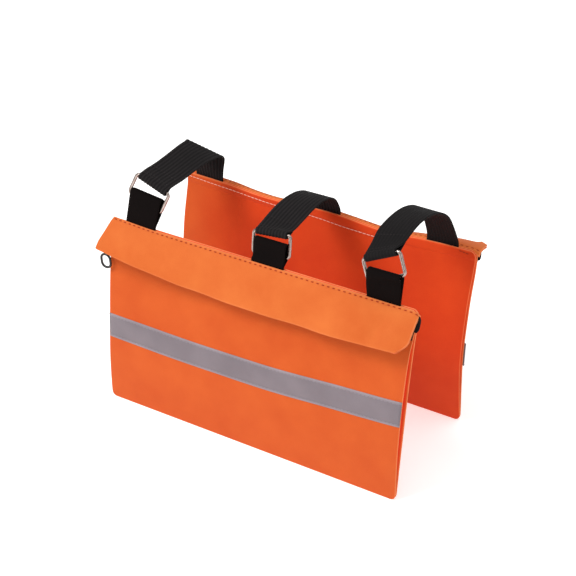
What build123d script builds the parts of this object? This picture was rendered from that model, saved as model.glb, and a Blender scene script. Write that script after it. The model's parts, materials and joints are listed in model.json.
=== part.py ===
from build123d import *
import math
import os

# Saddle sandbag for light stands: two flat zipped pouches hang back to back from
# three elastic straps. +X runs along the pouches, -Y is the front, +Z is up.
# The origin is on the floor, midway between the two pouches.

# ---- driving dimensions, mm ----
BAG_LENGTH = 300.0
POUCH_TOP = 184.1
CORNER_R = 5.0
PANEL_T = 1.2
LINER_T = 0.5
SEAM_WIDTH = 5.0
SEAM_INSET = 1.2
SAND_TOP = 150.0
LINER_TOP = 176.0
LINER_GAP = 1.0

FLAP_LENGTH = 304.0
FLAP_T = 1.8
FLAP_FOLD = (64.6, 184.8)

TAPE_Z = (68.0, 93.0)
TAPE_T = 0.4
TAPE_INSET = 0.2

ZIP_Z = (160.0, 178.0)
ZIP_X = (-150.0, 155.0)
ZIP_T = 0.6
COIL_Z = (166.5, 171.5)
COIL_T = 1.2
COIL_INSET = 1.0
SLIDER_X = -148.0
SLIDER_SIZE = (13.0, 9.0)
SLIDER_T = 2.0
SLIDER_CORNER_R = 3.5
SLIDER_GAP = 0.7
POST_R = 0.8
POST_OFFSET = (-5.0, -2.0)
POST_LENGTH = 4.6
POST_HEAD_R = 1.6
POST_HEAD_T = 0.7
POST_SINK = 0.2
EYE_R = 2.2
EYE_SLACK = 0.35
EYE_GAP = 0.4
STEM_WIDTH = 2.4
PULL_T = 1.2
PULL_DROP = 18.0
PULL_SIZE = (10.0, 15.0)
PULL_CORNER_R = 4.0
PULL_WIRE_R = 0.7

STRAP_WIDTH = 30.0
STRAP_T = 1.8
SEAM_AXIS = (60.6, 185.7)

WIRE_R = 1.5
RING_WIDTH = 35.5
RING_HEIGHT = 19.5
RING_CORNER_R = 3.0
RING_LEAN = 4.4
STRAP_LOOP_R = 1.9
STRAP_CROWN_T = 1.5
TAB_WIDTH = 25.5
TAB_T = 2.4
TAB_LOOP_R = 2.9
TAB_LOOP_T = 1.1
TAB_SIDE_GAP = 1.25

# Blanks and cutters run past what they shape.
CUT_DEPTH = 400.0
CUT_OVERRUN = 10.0
BORE_OVERRUN = 3.0

# Pouch cross-sections, as (distance out from the saddle's mid plane, height).
FRONT_OUTER = [
    (62.1, POUCH_TOP), (64.5, 172), (69, 150), (74, 110),
    (75.5, 70), (74.5, 30), (72.5, 0),
]
FRONT_INNER = [
    (69.5, 0), (69.2, 20), (68, 60), (66.5, 100),
    (64, 140), (61, 168), (59.1, POUCH_TOP),
]
REAR_OUTER = [
    (62.1, POUCH_TOP), (64.5, 172), (61, 144), (58, 109),
    (57.5, 86), (62, 51), (69, 15), (71.5, 0),
]
REAR_INNER = [
    (68.5, 0), (64.5, 15), (55, 51), (49.5, 86),
    (49.5, 109), (52.5, 144), (57, 168), (59.1, POUCH_TOP),
]

# Flap cross-sections from the fold to the hem.
FRONT_FLAP = [FLAP_FOLD, (71.5, 182.2), (78, 175.5), (83, 167), (87.1, 158.5)]
REAR_FLAP = [FLAP_FOLD, (73, 184.4), (80, 180.2), (85, 173), (87.1, 164.5)]

# Each chain: ring roll in degrees, centre of the ring's upper bar, where the tab
# is sewn in, (y, z) at both ends of the tab's fold, and the strap's route as
# (x, y, z, roll) from behind the ring.
CHAINS = {
    "left": {
        "roll": -20.0,
        "upper_bar": (-115.5, -48.0, 221.5),
        "tab_x": -121.0,
        "tab_fold": ((-51.5, 210.0), (-49.5, 205.0)),
        "route": [
            (-117.5, -28, 222.6, -20),
            (-120, 0, 223.4, -21),
            (-123, 28, 221.6, -21),
            (-125.5, 48, 213, -15),
            (-127, 58, 200, -7),
        ],
    },
    "middle": {
        "roll": 6.0,
        "upper_bar": (7.5, -50.9, 209.9),
        "tab_x": 9.5,
        "tab_fold": ((-55.3, 199.0), (-55.3, 199.0)),
        "route": [
            (5.5, -30, 214.4, 3),
            (3, 0, 215.8, 0),
            (1, 25, 213.2, 0),
            (-1, 46, 205.5, 0),
            (-2, 57.5, 195, 0),
        ],
    },
    "right": {
        "roll": 27.0,
        "upper_bar": (111.3, -57.0, 222.4),
        "tab_x": 119.9,
        "tab_fold": ((-62.4, 208.0), (-61.8, 213.4)),
        "route": [
            (112, -44, 231, 18),
            (112.5, -24, 236.6, 11),
            (114, 2, 236, 7),
            (115.5, 27, 228, 3),
            (116.5, 46, 213.5, 0),
            (117, 57, 198, 0),
        ],
    },
}

# The pouches: which way is out, and their sections.
POUCHES = {
    "front": {"out": -1, "outer": FRONT_OUTER, "inner": FRONT_INNER, "flap": FRONT_FLAP},
    "rear": {"out": 1, "outer": REAR_OUTER, "inner": REAR_INNER, "flap": REAR_FLAP},
}


def save(shape, node):
    export_step(shape, f"parts/{node}.step")


def extrude_along_x(face, length):
    """Extrude a face of the YZ plane to both sides of x = 0."""
    return extrude(face, amount=length / 2, both=True)


def pouch_prism(out, outer, inner, length):
    """A prism of the pouch's cross-section, centred on x = 0."""
    outer_points = [(out * v, z) for v, z in outer]
    inner_points = [(out * v, z) for v, z in inner]
    edges = [
        Spline(*outer_points),
        Line(outer_points[-1], inner_points[0]),
        Spline(*inner_points),
        Line(inner_points[-1], outer_points[0]),
    ]
    return extrude_along_x(Plane.YZ * make_face(edges), length)


def pouch_solid(prism):
    """The whole pouch, panel to panel, with its lower corners rounded."""
    blank = Pos(0, 0, POUCH_TOP) * Box(BAG_LENGTH, CUT_DEPTH, 2 * POUCH_TOP)
    lower_edges = blank.edges().filter_by(Axis.Y).group_by(Axis.Z)[0]
    return prism & fillet(lower_edges, CORNER_R)


def between(solid, out, inset):
    """The part of a pouch that lies deeper than inset under both faces."""
    return (Pos(0, -out * inset, 0) * solid) & (Pos(0, out * inset, 0) * solid)


def band(z_range, x_range):
    """A block that cuts a level band, from low to high and from end to end."""
    low, high = z_range
    left, right = x_range
    return Pos((left + right) / 2, 0, (low + high) / 2) * Box(right - left, CUT_DEPTH, high - low)


def skin(solid, out, depth, thickness, z_range, x_range):
    """A layer of thickness on a pouch's outer face, depth clear of it."""
    layer = (Pos(0, out * (depth + thickness), 0) * solid) - (Pos(0, out * depth, 0) * solid)
    return layer & band(z_range, x_range)


def outer_face_at(outer, z):
    """Distance out of the outer face at height z, from the section's points."""
    for (v_high, z_high), (v_low, z_low) in zip(outer, outer[1:]):
        if z_low <= z <= z_high:
            share = (z - z_low) / (z_high - z_low)
            return v_low + share * (v_high - v_low)
    return outer[-1][0]


def build_pouch(name, out, outer, inner, flap):
    prism = pouch_prism(out, outer, inner, BAG_LENGTH + 2 * CUT_OVERRUN)
    solid = pouch_solid(prism)
    save(solid - (Pos(0, -out * PANEL_T, 0) * solid), f"{name}_outer_panel")
    save(solid - (Pos(0, out * PANEL_T, 0) * solid), f"{name}_inner_panel")

    # Seam allowances close the pouch along its bottom and both ends.
    core = between(solid, out, PANEL_T)
    pocket_length = BAG_LENGTH - 2 * SEAM_WIDTH
    pocket = Pos(0, 0, SEAM_WIDTH + POUCH_TOP / 2) * Box(pocket_length, CUT_DEPTH, POUCH_TOP)
    ends = Box(BAG_LENGTH - 2 * SEAM_INSET, CUT_DEPTH, 2 * (POUCH_TOP + CUT_OVERRUN))
    save((core & ends) - pocket, f"{name}_seam_allowance")

    # A sealed liner bag holds the sand inside the pouch.
    bag_end = BAG_LENGTH / 2 - SEAM_WIDTH - LINER_GAP
    bag_foot = SEAM_WIDTH + LINER_GAP
    bag = core & band((bag_foot, LINER_TOP), (-bag_end, bag_end))
    void_end = bag_end - LINER_GAP
    void_z = (bag_foot + LINER_GAP, LINER_TOP - 2 * LINER_GAP)
    void = between(solid, out, PANEL_T + LINER_T) & band(void_z, (-void_end, void_end))
    save(bag - void, f"{name}_liner_bag")
    save(void & band((0, SAND_TOP), (-bag_end, bag_end)), f"{name}_sand_fill")

    # The tape is sewn across the outer face; the zip runs just under the fold.
    edge = BAG_LENGTH / 2 - TAPE_INSET
    coil_x = (ZIP_X[0] + COIL_INSET, ZIP_X[1] - COIL_INSET)
    save(skin(solid, out, 0, TAPE_T, TAPE_Z, (-edge, edge)), f"{name}_reflective_tape")
    save(skin(prism, out, 0, ZIP_T, ZIP_Z, ZIP_X), f"{name}_zip_tape")
    save(skin(prism, out, ZIP_T, COIL_T, COIL_Z, coil_x), f"{name}_zip_coil")
    save(flap_solid(out, flap), f"{name}_flap")
    build_slider(name, out, outer)


def flap_solid(out, points):
    """A weather flap over the zip: a curved sheet with a rounded fold and hem."""
    path = Spline(*[(out * v, z) for v, z in points])
    half = FLAP_T / 2
    section = trace(path, FLAP_T)
    for end in (points[0], points[-1]):
        section += Pos(out * end[0], end[1]) * Circle(half)
    return extrude_along_x(Plane.YZ * section, FLAP_LENGTH)


def build_slider(name, out, outer):
    """The zip's slider, with the post its pull hangs from, and the pull."""
    z_mid = sum(COIL_Z) / 2
    length, height = SLIDER_SIZE
    slider_heights = (z_mid - height / 2, z_mid, z_mid + height / 2)
    face = max(outer_face_at(outer, z) for z in slider_heights)
    base = face + ZIP_T + COIL_T + SLIDER_GAP
    plate = Pos(SLIDER_X, out * (base + SLIDER_T / 2), z_mid) * Box(length, SLIDER_T, height)
    plate = fillet(plate.edges().filter_by(Axis.Y), SLIDER_CORNER_R)
    post_x = SLIDER_X + POST_OFFSET[0]
    post_z = z_mid + POST_OFFSET[1]
    along_y = Rot(90, 0, 0)
    post_top = base + SLIDER_T + POST_LENGTH
    post_y = out * (post_top - POST_LENGTH / 2 - POST_SINK)
    post = Pos(post_x, post_y, post_z) * along_y * Cylinder(POST_R, POST_LENGTH + 2 * POST_SINK)
    head_y = out * (post_top + POST_HEAD_T / 2)
    head = Pos(post_x, head_y, post_z) * along_y * Cylinder(POST_HEAD_R, POST_HEAD_T)
    save(plate + post + head, f"{name}_zip_slider")

    # The pull: an eye on the post, a flat stem and an oval ring of wire.
    pull_y = out * (post_top - PULL_T / 2 - EYE_GAP)
    eye = Pos(post_x, pull_y, post_z) * along_y * Cylinder(EYE_R, PULL_T)
    stem = Pos(post_x, pull_y, post_z - PULL_DROP / 2) * Box(STEM_WIDTH, PULL_T, PULL_DROP)
    hole = Pos(post_x, pull_y, post_z) * along_y * Cylinder(POST_R + EYE_SLACK, 4 * PULL_T)
    width, drop = PULL_SIZE
    ring_z = post_z - PULL_DROP - drop / 2 + 2 * PULL_WIRE_R
    inner_size = (width - 2 * PULL_WIRE_R, drop - 2 * PULL_WIRE_R)
    outline = RectangleRounded(*inner_size, PULL_CORNER_R)
    plane = Plane(origin=(post_x, pull_y, ring_z), x_dir=(1, 0, 0), z_dir=(0, -1, 0))
    path = (plane * outline).faces()[0].outer_wire()
    section = Plane(origin=path @ 0, z_dir=path % 0) * Circle(PULL_WIRE_R)
    ring = sweep(section, path=path, transition=Transition.ROUND)
    save((eye + stem + ring) - hole, f"{name}_zip_pull")


def bar_direction(roll):
    return Vector(math.cos(math.radians(roll)), 0, math.sin(math.radians(roll)))


def cylinder_along(centre, direction, radius, length):
    return Plane(origin=centre, z_dir=direction) * Cylinder(radius, length)


def lower_bar_centre(upper_bar, roll):
    """Where the ring's lower bar is: square to the bar, leaning out at the foot."""
    rise = math.sqrt(RING_HEIGHT**2 - RING_LEAN**2)
    up = Vector(-math.sin(math.radians(roll)), 0, math.cos(math.radians(roll)))
    return Vector(*upper_bar) - up * rise + Vector(0, -RING_LEAN, 0)


def ring_solid(upper_bar, roll):
    """A rectangular ring of round wire between its two bars."""
    lower_bar = lower_bar_centre(upper_bar, roll)
    along = bar_direction(roll)
    upward = Vector(*upper_bar) - lower_bar
    centre = lower_bar + upward * 0.5
    plane = Plane(origin=centre, x_dir=along, z_dir=along.cross(upward))
    outline = plane * RectangleRounded(RING_WIDTH, RING_HEIGHT, RING_CORNER_R)
    path = outline.faces()[0].outer_wire()
    section = Plane(origin=path @ 0, z_dir=path % 0) * Circle(WIRE_R)
    return sweep(section, path=path, transition=Transition.ROUND)


def slot_loft(stations, radius):
    """A tall slot lofted through stations of (x, low (y, z), high (y, z))."""
    faces = []
    for x, low, high in stations:
        rise = Vector(0, high[0] - low[0], high[1] - low[1])
        middle = (x, (low[0] + high[0]) / 2, (low[1] + high[1]) / 2)
        plane = Plane(origin=middle, x_dir=rise, z_dir=(1, 0, 0))
        faces.append(plane * SlotCenterToCenter(rise.length, 2 * radius))
    return loft(faces)


def tab_solid(tab_x, tab_fold, upper_bar, roll):
    """A webbing tab: a flat stretch up from the seam and the tall loop round the ring."""
    seam = (-SEAM_AXIS[0], SEAM_AXIS[1])
    bar = lower_bar_centre(upper_bar, roll)
    slope = math.tan(math.radians(roll))
    fold_left, fold_right = tab_fold

    def station(share):
        """x, the bar and the fold, from the left end, 0, to the right, 1."""
        x = tab_x + (share - 0.5) * TAB_WIDTH
        fold = [left + share * (right - left) for left, right in zip(fold_left, fold_right)]
        return x, (bar.Y, bar.Z + (x - bar.X) * slope), fold

    overrun = BORE_OVERRUN / TAB_WIDTH
    ends = [station(0), station(1)]
    web = slot_loft([(x, seam, low) for x, low, _ in ends], TAB_T / 2)
    sleeve = slot_loft(ends, TAB_LOOP_R + TAB_LOOP_T)
    hole = slot_loft([station(-overrun), station(1 + overrun)], TAB_LOOP_R)
    tab = (web - hole) + (sleeve - hole)

    # The ring's sides hold the loop's upper corners in.
    along = bar_direction(roll)
    up = Vector(-along.Z, 0, along.X)
    room = RING_WIDTH / 2 - WIRE_R - TAB_SIDE_GAP
    for end in (-1, 1):
        middle = bar + along * end * (room + CUT_DEPTH / 2) + up * (CUT_DEPTH / 2)
        corner = Plane(origin=middle, x_dir=along, z_dir=(0, 1, 0)) * Box(CUT_DEPTH, CUT_DEPTH, CUT_DEPTH)
        tab -= corner
    return tab


def strap_solid(upper_bar, roll, route):
    """An elastic strap from its loop on the ring, over the saddle, to the rear seam."""
    bar = Vector(*upper_bar)
    along = bar_direction(roll)
    up = Vector(-math.sin(math.radians(roll)), 0, math.cos(math.radians(roll)))
    crown = bar + up * (STRAP_LOOP_R + STRAP_T / 2)
    seam_x = route[-1][0]
    seam = Vector(seam_x, *SEAM_AXIS)
    points = [crown] + [Vector(x, y, z) for x, y, z, _ in route] + [seam]
    rolls = [roll] + [twist for _, _, _, twist in route] + [0]
    sections = []
    for index, (point, twist) in enumerate(zip(points, rolls)):
        before = points[max(index - 1, 0)]
        after = points[min(index + 1, len(points) - 1)]
        travel = after - before
        heading = Vector(0, 1, 0) if index == 0 else Vector(0, travel.Y, travel.Z)
        plane = Plane(origin=point, x_dir=bar_direction(twist), z_dir=heading)
        thickness = STRAP_CROWN_T if index == 0 else STRAP_T
        sections.append(plane * Rectangle(STRAP_WIDTH, thickness))
    sleeve = cylinder_along(bar, along, STRAP_LOOP_R + STRAP_T, STRAP_WIDTH)
    hole = cylinder_along(bar, along, STRAP_LOOP_R, STRAP_WIDTH + 2 * BORE_OVERRUN)
    root = cylinder_along(seam, (1, 0, 0), STRAP_T / 2, STRAP_WIDTH)
    return (loft(sections) - hole) + (sleeve - hole) + root


os.makedirs("parts", exist_ok=True)

for pouch_name, pouch in POUCHES.items():
    build_pouch(pouch_name, **pouch)

for side, chain in CHAINS.items():
    save(ring_solid(chain["upper_bar"], chain["roll"]), f"{side}_ring")
    save(tab_solid(chain["tab_x"], chain["tab_fold"], chain["upper_bar"], chain["roll"]), f"{side}_tab")
    save(strap_solid(chain["upper_bar"], chain["roll"], chain["route"]), f"{side}_strap")
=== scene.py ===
import json
import math

import bmesh
import bpy
from mathutils import Matrix, Vector, noise
from mathutils.bvhtree import BVHTree


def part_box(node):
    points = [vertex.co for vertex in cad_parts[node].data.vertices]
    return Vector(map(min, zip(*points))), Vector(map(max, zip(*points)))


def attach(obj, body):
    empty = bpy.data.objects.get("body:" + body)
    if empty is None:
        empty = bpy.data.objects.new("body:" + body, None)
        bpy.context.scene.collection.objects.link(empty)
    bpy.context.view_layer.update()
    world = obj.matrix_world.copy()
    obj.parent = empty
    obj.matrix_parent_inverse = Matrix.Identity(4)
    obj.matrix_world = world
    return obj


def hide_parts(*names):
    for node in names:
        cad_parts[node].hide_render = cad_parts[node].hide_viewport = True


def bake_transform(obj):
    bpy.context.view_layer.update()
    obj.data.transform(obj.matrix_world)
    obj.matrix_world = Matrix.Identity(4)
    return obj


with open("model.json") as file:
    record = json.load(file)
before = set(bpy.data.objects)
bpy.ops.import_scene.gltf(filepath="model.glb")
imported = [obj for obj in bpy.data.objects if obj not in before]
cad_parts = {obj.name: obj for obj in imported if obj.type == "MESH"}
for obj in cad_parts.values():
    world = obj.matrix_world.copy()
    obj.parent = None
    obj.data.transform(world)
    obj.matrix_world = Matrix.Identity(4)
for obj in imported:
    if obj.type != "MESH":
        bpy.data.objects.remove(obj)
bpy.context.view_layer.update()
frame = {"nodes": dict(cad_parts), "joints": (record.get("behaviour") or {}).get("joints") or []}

# Looks of a saddle sandbag for light stands. Metres, +X along the pouches, -Y front, +Z up.

MM = 0.001
JOINTS = {joint["name"]: joint for joint in frame["joints"]}
RAY_FROM = 0.3  # metres out from the middle, clear of both pouches

# ---- camera, at the usual three-quarter view ----
CAMERA_PLACE = (0.4794, -0.8880, 0.7030)
CAMERA_AZIMUTH = math.radians(28.51)
CAMERA_ELEVATION = math.radians(29.60)
CAMERA_ROLL = math.radians(2.4)
CAMERA_LENS = 80.25

# ---- lamps: name, place, size in metres, power in watts ----
LAMPS = (
    ("key", (-0.85, -1.25, 1.75), 0.75, 34.0),
    ("top", (0.3, -0.1, 1.9), 1.4, 8.0),
    ("fill", (1.5, -0.9, 0.7), 1.2, 4.0),
)

# ---- pouches ----
POUCH_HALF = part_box("front_outer_panel")[1].x
PLY = 1.5 * MM
GROOVE = 3.0 * MM
CORNER_R = 5.0 * MM
FACE_STEP = 5.0 * MM
SEAM_LEAD = (0.0, 0.7 * MM, 1.8 * MM, 3.6 * MM, 6.4 * MM)
HEM_DEPTH = 8.0 * MM
HEM_STEP = 0.7 * MM
HEM_GROOVE = 0.25 * MM
HEM_LEAD = (0.0, 1.2 * MM, 4.0 * MM, HEM_DEPTH - 0.4 * MM, HEM_DEPTH + 0.3 * MM, HEM_DEPTH + 1.4 * MM)
ZIP_LANE = 28.0 * MM
SWELL_CAP = 3.4 * MM
FILL_PRESSURE = 4.0
FILL_FRAMES = 20
SADDLE_DIP = 0.5
OUTER_DIP = 0.6
REAR_SWELLS = (  # height in mm, centre and width in metres
    (2.6, -0.122, 0.021), (2.4, 0.022, 0.030), (3.0, 0.104, 0.024),
    (-1.2, 0.068, 0.014), (-0.8, -0.078, 0.02),
)
# painted shade on the saddle sides, tinted red as if by light bouncing between the orange pouches
SADDLE_SHADE = 0.58
WAIST = 2.8 * MM

# ---- reflective tape: share of its width and height in mm of each lengthwise line ----
TAPE_WRAP = 1.8 * MM
TAPE_STEPS = 110
TAPE_SEAMS = (0.11, 0.89)
TAPE_PROFILE = (
    (0.0, -0.3), (0.02, 0.55), (0.07, 0.7), (0.11, 0.28), (0.15, 0.45), (0.35, 0.5), (0.65, 0.5),
    (0.85, 0.45), (0.89, 0.28), (0.93, 0.7), (0.98, 0.55), (1.0, -0.3),
)

# ---- flaps ----
FLAP_REACH = 152.0 * MM
FLAP_LEFT_FOLD = 4.5 * MM
FLAP_LEFT_FLARE = 6.5 * MM
FLAP_PLY = 1.15 * MM
FLAP_T = 2.6 * MM
FLAP_CUT = 38.0 * MM
FLAP_START = Vector((3.4, 2.6)) * MM
FLAP_CROWN = Vector((1.6, 1.0)) * MM
FLAP_LEAD = (0.0, 0.8 * MM, 2.0 * MM, 4.0 * MM)
FLAP_TRIM_LEFT = 2.5 * MM
FLAP_TRIM_RIGHT = 8.5 * MM
FLAP_TIP_FALL = 3.2 * MM
FLAP_SHARES = (
    0.0, 0.04, 0.07, 0.09, 0.12, 0.145, 0.17, 0.2, 0.25, 0.33,
    0.43, 0.54, 0.64, 0.72, 0.78, 0.84, 0.9, 0.95, 0.985, 1.0,
)
FLAP_STITCH_ROW = 5
FLAP_BULGE = 2.6 * MM
FLAP_TIP_RISE = 2.6 * MM

# ---- zips: tooth lines as distance from the middle and girth in mm; stubs as length, low and high ----
TOOTH_PITCH = 1.7 * MM
TOOTH_SIDES = 6
TOOTH = ((-0.6, 0.35), (-0.2, 0.6), (1.0, 0.6), (1.9, 0.55), (2.3, 0.3))
ZIP_STUBS = {
    "front": (5.5 * MM, 169.0 * MM, 182.0 * MM),
    "rear": (3.4 * MM, 174.0 * MM, 183.5 * MM),
}

# ---- zip pulls and rings: loops as width, height and corner ----
PULL_EYE = (3.3 * MM, 3.3 * MM, 1.64 * MM)
PULL_LOOP = (9.8 * MM, 12.8 * MM, 4.6 * MM)
PULL_ASKEW = 7.0
PULL_REACH = 20.8 * MM
PULL_WIRE = 1.15 * MM
RING_WIDTH = 35.5 * MM
RING_CORNER = 3.0 * MM

# ---- straps and tabs ----
STRAP_WIDTH = 30.6 * MM
STRAP_T = 1.7 * MM
WIRE_R = 1.5 * MM
TAB_T = 1.1 * MM
TAB_LOOP = 3.45 * MM
TAB_SPREAD = {"left": (2.2, 3.2), "middle": (2.9, 2.9), "right": (3.8, 1.0)}
TAB_RISE = {"left": 0.6, "middle": 2.6, "right": 0.0}
STRAP_STITCH_ROWS = (4, 6, 15)
STITCH_SIDES = 6
STITCH_GIRTHS = ((0.0, 0.35), (0.12, 0.8), (0.5, 1.0), (0.88, 0.8), (1.0, 0.35))


def vec(x, y, z):
    """A point given in millimetres."""
    return Vector((x, y, z)) * MM


# ---- materials ----


def add_node(tree, kind, settings=(), **inputs):
    """A shader node with its settings and inputs; an input is a value or another socket."""
    node = tree.nodes.new(kind)
    for key, value in dict(settings).items():
        setattr(node, key, value)
    for key, value in inputs.items():
        index = int(key[1:]) if key[0] == "i" and key[1:].isdigit() else key.replace("_", " ")
        if isinstance(value, bpy.types.NodeSocket):
            tree.links.new(value, node.inputs[index])
        else:
            node.inputs[index].default_value = value
    return node


def maths(tree, operation, first, second=0.0):
    return add_node(tree, "ShaderNodeMath", {"operation": operation}, i0=first, i1=second).outputs[0]


def blank_material(name, **sockets):
    """A material with its uniform values set straight on the shader."""
    material = bpy.data.materials.new(name)
    material.use_nodes = True
    tree = material.node_tree
    bsdf = tree.nodes["Principled BSDF"]
    for key, value in sockets.items():
        bsdf.inputs[key.replace("_", " ")].default_value = value
    return material, tree, bsdf


def linear(hex_colour):
    """An sRGB colour such as E8672F as linear light with alpha."""
    channels = [int(hex_colour[i : i + 2], 16) / 255 for i in (0, 2, 4)]
    return tuple(c / 12.92 if c <= 0.04045 else ((c + 0.055) / 1.055) ** 2.4 for c in channels) + (1.0,)


def woven(name, dark, light, pitch, bump, mottle=0.5, edge=None, deep=None, across=1.0, **sockets):
    """Cloth: threads crossing at a pitch along its own flat coordinates, fuzz and mottling; edge is the
    colour of edges lighter from scuffing and painted highlight, deep multiplies in painted shade.
    """
    material, tree, bsdf = blank_material(name, **sockets)
    flat = add_node(tree, "ShaderNodeUVMap").outputs[0]
    split = add_node(tree, "ShaderNodeSeparateXYZ", (), Vector=flat)
    turns = 2 * math.pi / pitch
    warp = maths(tree, "SINE", maths(tree, "MULTIPLY", split.outputs[0], turns * across))
    weft = maths(tree, "SINE", maths(tree, "MULTIPLY", split.outputs[1], turns))
    threads = maths(tree, "MULTIPLY_ADD", maths(tree, "MULTIPLY", warp, weft), 0.5)
    threads.node.inputs[2].default_value = 0.5
    place = add_node(tree, "ShaderNodeTexCoord").outputs["Object"]
    broad = add_node(tree, "ShaderNodeTexNoise", (), Vector=place, Scale=28.0, Detail=4.0, Roughness=0.55)
    fuzz = add_node(tree, "ShaderNodeTexNoise", (), Vector=place, Scale=1400.0, Detail=3.0, Roughness=0.7)
    grain = maths(tree, "MULTIPLY", maths(tree, "ADD", threads, fuzz.outputs["Fac"]), 0.5)
    share = add_node(
        tree, "ShaderNodeMix", {"data_type": "FLOAT"}, i0=mottle, i2=grain, i3=broad.outputs["Fac"]
    ).outputs[0]
    ramp = add_node(tree, "ShaderNodeValToRGB", (), Fac=share)
    ramp.color_ramp.elements[0].position = 0.30
    ramp.color_ramp.elements[0].color = dark
    ramp.color_ramp.elements[1].position = 0.72
    ramp.color_ramp.elements[1].color = light
    colour = ramp.outputs["Color"]
    # edges lighter, unevenly: scuffing and painted highlight
    if edge is not None:
        scuff_and_highlight = add_node(tree, "ShaderNodeAttribute", {"attribute_name": "edge"}).outputs["Fac"]
        scuffed_and_lit = maths(tree, "MULTIPLY", scuff_and_highlight, maths(tree, "ADD", broad.outputs["Fac"], 0.25))
        mixed = add_node(tree, "ShaderNodeMix", {"data_type": "RGBA"}, i0=scuffed_and_lit, i6=colour, i7=edge)
        colour = mixed.outputs[2]
    # painted shade: the shade attribute multiplies the colour by deep
    if deep is not None:
        shade = add_node(tree, "ShaderNodeAttribute", {"attribute_name": "shade"}).outputs["Fac"]
        settings = {"data_type": "RGBA", "blend_type": "MULTIPLY"}
        colour = add_node(tree, "ShaderNodeMix", settings, i0=shade, i6=colour, i7=deep).outputs[2]
    tree.links.new(colour, bsdf.inputs["Base Color"])
    relief = add_node(tree, "ShaderNodeBump", (), Strength=bump, Distance=0.3 * MM, Height=grain)
    tree.links.new(relief.outputs[0], bsdf.inputs["Normal"])
    return material


def speckled(name, dark, light, scale, bump, low=0.35, high=0.7, rough=None, **sockets):
    """A solid's finish: two tones through fine noise, with relief from the same noise."""
    material, tree, bsdf = blank_material(name, **sockets)
    place = add_node(tree, "ShaderNodeTexCoord").outputs["Object"]
    grain = add_node(tree, "ShaderNodeTexNoise", (), Vector=place, Scale=scale, Detail=5.0, Roughness=0.6)
    ramp = add_node(tree, "ShaderNodeValToRGB", (), Fac=grain.outputs["Fac"])
    ramp.color_ramp.elements[0].position = low
    ramp.color_ramp.elements[0].color = dark
    ramp.color_ramp.elements[1].position = high
    ramp.color_ramp.elements[1].color = light
    tree.links.new(ramp.outputs["Color"], bsdf.inputs["Base Color"])
    if rough is not None:
        spread = add_node(tree, "ShaderNodeMapRange", (), i0=grain.outputs["Fac"], i3=rough[0], i4=rough[1])
        tree.links.new(spread.outputs[0], bsdf.inputs["Roughness"])
    height = grain.outputs["Fac"]
    relief = add_node(tree, "ShaderNodeBump", (), Strength=bump, Distance=0.2 * MM, Height=height)
    tree.links.new(relief.outputs[0], bsdf.inputs["Normal"])
    return material


THREADS = {  # dark and light tone, relief
    # dark red thread: painted shade of the recessed stitch holes
    "stitch_shaded": ("8A2A0C", "A83A14", 0.4),
    "stitch_pale": ("E9A58E", "F7C9B8", 0.3),
    "stitch_grey": ("7C7278", "98909A", 0.3),
    "stitch_black": ("1A1616", "373132", 0.3),
}


def make_materials():
    """Every finish, by the name that pieces ask for it with."""
    cloth = dict(Roughness=0.85, Sheen_Weight=0.05, Sheen_Roughness=0.5, Specular_IOR_Level=0.2)
    # edge is the colour of edges lighter from scuffing and painted highlight; deep tints painted shade red,
    # as if from bounce light between the pouches
    cloth_with_painted_light = dict(edge=linear("EE8F58"), deep=(1.25, 0.28, 0.08, 1.0), **cloth)
    black_cloth = dict(Roughness=0.8, Sheen_Weight=0.0, Specular_IOR_Level=0.16)
    threads = {
        name: woven(name, linear(dark), linear(light), 0.4 * MM, bump, **cloth)
        for name, (dark, light, bump) in THREADS.items()
    }
    return threads | {
        "orange": woven(
            "orange_oxford", linear("BA4713"), linear("CA5A1F"), 0.62 * MM, 0.35,
            mottle=0.55, **cloth_with_painted_light
        ),
        # a lighter, yellower copy of the orange cloth: painted light on the flap's upward-facing top
        "orange_flap_lit": woven(
            "orange_flap_lit", linear("BD541E"), linear("CE6C30"), 0.62 * MM, 0.35,
            mottle=0.6, **cloth_with_painted_light
        ),
        "tape": woven(
            "reflective_tape", linear("665D63"), linear("7B7177"), 0.9 * MM, 0.2,
            mottle=0.6, edge=linear("948A90"), Roughness=0.48, Metallic=0.15, Specular_IOR_Level=0.5
        ),
        "elastic": woven(
            "ribbed_elastic", linear("050404"), linear("0F0C0D"), 0.8 * MM, 0.6,
            mottle=0.3, across=1.4, edge=linear("221E1F"), **black_cloth
        ),
        "webbing": woven(
            "plain_webbing", linear("050202"), linear("0D0605"), 0.7 * MM, 0.4,
            mottle=0.35, Roughness=0.85, Specular_IOR_Level=0.08
        ),
        "zip_tape": woven("zip_tape", linear("0E0C0C"), linear("1C1819"), 0.5 * MM, 0.4, **black_cloth),
        "liner": woven("liner_cloth", linear("38383A"), linear("4A4A4C"), 0.6 * MM, 0.3, **cloth),
        "wire": speckled(
            "plated_wire", linear("9C8E87"), linear("B9AAA3"), 220.0, 0.0,
            rough=(0.14, 0.22), Metallic=1.0, Roughness=0.2
        ),
        "black_metal": speckled(
            "black_metal", linear("080707"), linear("131111"), 700.0, 0.1,
            rough=(0.35, 0.5), Metallic=0.0, Specular_IOR_Level=0.4, Coat_Weight=0.15, Coat_Roughness=0.25
        ),
        "coil": speckled(
            "zip_coil", linear("0B0B0B"), linear("1B1A1A"), 1200.0, 0.1,
            rough=(0.3, 0.5), Specular_IOR_Level=0.5
        ),
        "sand": speckled("dry_sand", linear("8C7350"), linear("D3BC90"), 1500.0, 0.9, Roughness=0.95),
        "floor": speckled(
            "studio_floor", linear("F4F3F2"), linear("FAFAF9"), 9.0, 0.02, low=0.2, high=0.8,
            Roughness=0.9, Specular_IOR_Level=0.1, Emission_Color=(1.0, 1.0, 1.0, 1.0), Emission_Strength=0.4
        ),
    }


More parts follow.
